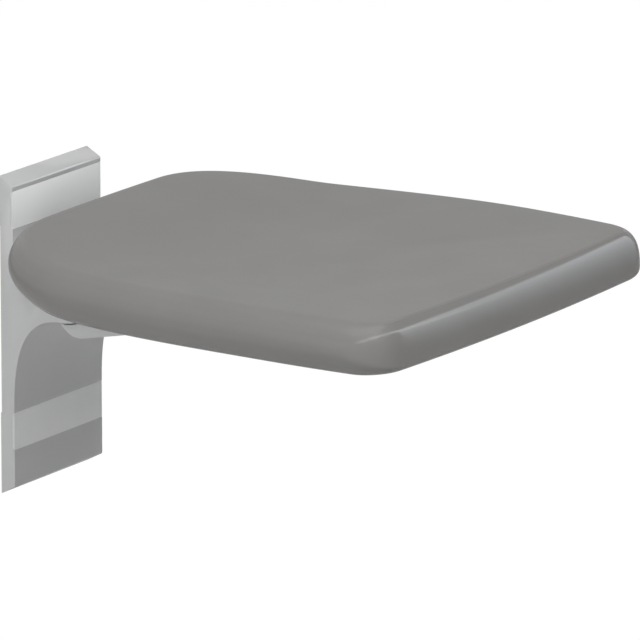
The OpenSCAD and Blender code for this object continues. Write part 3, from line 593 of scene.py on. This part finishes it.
def add_boss(bm, x, y):
    """A screw boss: a short tube that ends in the skin, with the bore for the brass insert."""
    steps = [
        (INSERT_R, PAD_TOP + INSERT_L), (INSERT_R, PAD_TOP), (BOSS_R - BOSS_EDGE, PAD_TOP),
        (BOSS_R, PAD_TOP + BOSS_EDGE), (BOSS_R, SEAT_Z - DISH - BOSS_BELOW_DISH),
    ]
    turns = [math.tau * i / BOSS_STEPS for i in range(BOSS_STEPS)]
    rings = [[Vector((x + r * math.cos(a), y + r * math.sin(a), z)) for a in turns] for r, z in steps]
    first = ring = place_ring(bm, rings[0])
    for places in rings[1:]:
        ring = extrude_ring(bm, ring, places)
    for end in (first, ring):
        bmesh.ops.contextual_create(bm, geom=end)


def seat_ribs(hollow):
    """The grid of ribs at the sides, the low ribs over the arm's flange, and the screw bosses."""
    bm = bmesh.new()
    half_t, first_gap = RIB_T / 2, RIB_COLUMNS[1] - RIB_COLUMNS[0]
    for side in (-1, 1):
        for column in RIB_COLUMNS:
            eye = Vector((side * (column + half_t), SEAT_MID.y, RIB_Z))
            add_rib(bm, hollow, eye, Vector((0, 1, 0)))
        for row in RIB_ROWS:
            eye = Vector((side * (RIB_COLUMNS[1] + half_t), row + half_t, RIB_Z))
            add_rib(bm, hollow, eye, Vector((side, 0, 0)), (None, first_gap))
        for row in SCREW_ROWS:
            add_boss(bm, side * SCREW_X, row)
    low_reach = RIB_COLUMNS[0] + half_t
    for row in RIB_ROWS:
        eye = Vector((0, row + half_t, PAD_TOP + LOW_RIB_GAP))
        add_rib(bm, hollow, eye, Vector((1, 0, 0)), (low_reach, low_reach))
    bmesh.ops.recalc_face_normals(bm, faces=bm.faces)
    piece = finish_piece(bm, "seat_ribs", "folding_seat", seat_plastic)
    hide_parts("seat_shell")


seat_ribs(moulded_seat())


# The photo's camera, from the fit of the console's corners and the seat's outline

CAM_TURN, CAM_RISE = math.radians(55.6), math.radians(15.2)
CAM_F_PX, CAM_SCALE = 9000.0, 1.2845
CAM_U, CAM_V = 44.27, 313.2
CAM_DROP = 8.2
IMAGE_PX, SENSOR_MM = 640.0, 36.0
CLIP_NEAR_M, CLIP_FAR_M = 0.5, 60.0


def photo_camera():
    """A long lens far away, shifted so that the object falls on the photo's own pixels."""
    level = math.cos(CAM_RISE)
    look = Vector((math.sin(CAM_TURN) * level, math.cos(CAM_TURN) * level, -math.sin(CAM_RISE)))
    right = Vector((math.cos(CAM_TURN), -math.sin(CAM_TURN), 0))
    up = right.cross(look)
    away = CAM_F_PX / CAM_SCALE
    side = (CAM_U - IMAGE_PX / 2) / CAM_F_PX * away
    high = (CAM_V - IMAGE_PX / 2) / CAM_F_PX * away
    place = -look * away - right * side + up * high - Vector((0, 0, CAM_DROP))
    data = bpy.data.cameras.new("photo_camera")
    data.sensor_width = SENSOR_MM
    data.lens = CAM_F_PX * SENSOR_MM / IMAGE_PX
    data.clip_start, data.clip_end = CLIP_NEAR_M, CLIP_FAR_M
    camera = bpy.data.objects.new("photo_camera", data)
    turned = Matrix((right, up, -look)).transposed().to_4x4()
    camera.matrix_world = Matrix.Translation(place * MM) @ turned
    bpy.context.scene.collection.objects.link(camera)
    bpy.context.scene.camera = camera


# Light and ground, in metres

FLOOR_Z, FLOOR_HALF_W, FLOOR_GLOW, FLOOR_GLOW_SHARE = -0.40, 12.0, 1.06, 0.92
WORLD_LIGHT, WORLD_SEEN, WORLD_MIRRORED_SHARE = 0.38, 1.0, 0.1


def soft_lamp(name, place, target, size, watts, mirrored=False):
    """A square softbox. Shiny faces mirror it only where that is asked for."""
    data = bpy.data.lights.new(name, "AREA")
    data.shape = "RECTANGLE"
    data.size = data.size_y = size
    data.energy = watts
    lamp = bpy.data.objects.new(name, data)
    lamp.location = place
    lamp.rotation_euler = (Vector(target) - Vector(place)).to_track_quat("-Z", "Y").to_euler()
    lamp.visible_glossy = mirrored
    bpy.context.scene.collection.objects.link(lamp)


def only_mirrored(thing):
    """Keeps a light shape out of sight: only shiny faces mirror it."""
    thing.visible_camera = thing.visible_diffuse = thing.visible_shadow = False


def light_card(name, middle, facing, width, height, glow_low, glow_top, colour="#ffffff"):
    """An upright card whose glow grows from its lower edge to its top."""
    facing = Vector(facing).normalized()
    along = Vector((0, 0, 1)).cross(facing)
    bm = bmesh.new()
    bmesh.ops.create_grid(bm, x_segments=1, y_segments=1, size=0.5)
    turn = Matrix((along * width, Vector((0, 0, height)), facing)).transposed().to_4x4()
    bmesh.ops.transform(bm, matrix=Matrix.Translation(middle) @ turn, verts=bm.verts)
    material, tree = start_material(name)
    low = middle[2] - height / 2
    up = add(tree, "SeparateXYZ", Vector=add(tree, "TexCoord").outputs["Object"]).outputs["Z"]
    glow = add(
        tree, "MapRange", Value=up, From_Min=low, From_Max=low + height, To_Min=glow_low, To_Max=glow_top,
    )
    light = add(tree, "Emission", Color=linear(colour), Strength=glow)
    add(tree, "OutputMaterial", Surface=light)
    only_mirrored(mesh_object(bm, name, material))


def bent_light_tube(name, places, glow):
    """A bent light tube in front of the seat, with a radius at each of its points."""
    data = bpy.data.curves.new(name, "CURVE")
    data.dimensions = "3D"
    data.bevel_depth, data.bevel_resolution = 1.0, 2
    spline = data.splines.new("POLY")
    spline.points.add(len(places) - 1)
    for point, (place, radius) in zip(spline.points, places):
        point.co = (*place, 1)
        point.radius = radius
    material, tree = start_material(name)
    light = add(tree, "Emission", Color=linear("#fbfdff"), Strength=glow)
    add(tree, "OutputMaterial", Surface=light)
    data.materials.append(material)
    tube = bpy.data.objects.new(name, data)
    bpy.context.scene.collection.objects.link(tube)
    only_mirrored(tube)


def seen_straight(tree, rays):
    """1 for what the camera sees itself or through something clear, and otherwise 0."""
    camera, through = rays.outputs["Is Camera Ray"], rays.outputs["Is Transmission Ray"]
    return add(tree, "Math", {"operation": "MAXIMUM"}, i0=camera, i1=through)


def pale_world():
    """White behind the object, dimmer as light, and only a little of it in mirrored views."""
    world = bpy.data.worlds.new("pale_studio")
    world.use_nodes = True
    tree = world.node_tree
    tree.nodes.clear()
    rays = add(tree, "LightPath")
    glossy = rays.outputs["Is Glossy Ray"]
    faint = add(tree, "Math", {"operation": "MULTIPLY"}, i0=glossy, i1=WORLD_MIRRORED_SHARE)
    seen = add(tree, "Math", {"operation": "MAXIMUM"}, i0=seen_straight(tree, rays), i1=faint)
    strength = add(tree, "MapRange", Value=seen, To_Min=WORLD_LIGHT, To_Max=WORLD_SEEN)
    back = add(tree, "Background", Color=linear("#ffffff"), Strength=strength)
    add(tree, "OutputWorld", Surface=back)
    bpy.context.scene.world = world


def pale_floor():
    """The bathroom floor at the usual sitting height below the seat. From below it is seen through."""
    bm = bmesh.new()
    bmesh.ops.create_grid(bm, x_segments=1, y_segments=1, size=FLOOR_HALF_W)
    bmesh.ops.translate(bm, verts=bm.verts, vec=(0, 0, FLOOR_Z))
    material, tree = start_material("pale_floor")
    matte = add(tree, "BsdfDiffuse", Color=linear("#cbcbcb"))
    glow = add(tree, "Emission", Color=linear("#ffffff"), Strength=FLOOR_GLOW)
    seen = seen_straight(tree, add(tree, "LightPath"))
    share = add(tree, "Math", {"operation": "MULTIPLY"}, i0=seen, i1=FLOOR_GLOW_SHARE)
    lit = add(tree, "MixShader", i0=share, i1=matte, i2=glow)
    below = add(tree, "NewGeometry").outputs["Backfacing"]
    both = add(tree, "MixShader", i0=below, i1=lit, i2=add(tree, "BsdfTransparent"))
    add(tree, "OutputMaterial", Surface=both)
    mesh_object(bm, "pale_floor", material)


# The route of the bent tube: each point with the tube's radius there
CORNER_TUBE_ROUTE = [
    ((-1.72, -0.91, 1.24), 0.10), ((-1.34, -1.26, 1.45), 0.14), ((-0.63, -1.64, 1.57), 0.15),
    ((0.18, -1.83, 1.44), 0.14), ((1.26, -1.51, 0.98), 0.10), ((1.33, -1.49, 0.90), 0.08),
    ((1.37, -1.52, 0.85), 0.06), ((1.42, -1.53, 0.78), 0.05), ((1.47, -1.50, 0.77), 0.04),
    ((1.52, -1.48, 0.75), 0.03),
]

photo_camera()
pale_world()
pale_floor()
soft_lamp(
    "overhead_softbox", place=(-0.2, -0.35, 2.9), target=(0, -0.22, 0.05), size=2.4, watts=17, mirrored=True,
)
soft_lamp("front_softbox", place=(-0.9, -2.2, 2.2), target=(0, -0.2, 0.05), size=1.2, watts=42)
soft_lamp("left_softbox", place=(-2.6, 0.3, 0.8), target=(0, -0.2, 0.0), size=1.4, watts=28)
light_card(
    "right_light_card", middle=(2.0, -1.36, 0.56), facing=(-0.927, 0.375, 0),
    width=1.8, height=1.72, glow_low=0.45, glow_top=3.0, colour="#eef4fa",
)
light_card(
    "camera_side_card", middle=(-2.54, -2.03, 0.5), facing=(0.848, 0.53, 0),
    width=8.6, height=4.0, glow_low=0.6, glow_top=0.6,
)
light_card(
    "far_side_card", middle=(2.48, 1.7, 1.3), facing=(-0.825, -0.565, 0),
    width=2.6, height=2.2, glow_low=0.76, glow_top=0.76,
)
bent_light_tube("corner_light_tube", CORNER_TUBE_ROUTE, glow=3.6)
bpy.context.scene.view_settings.view_transform = "Standard"
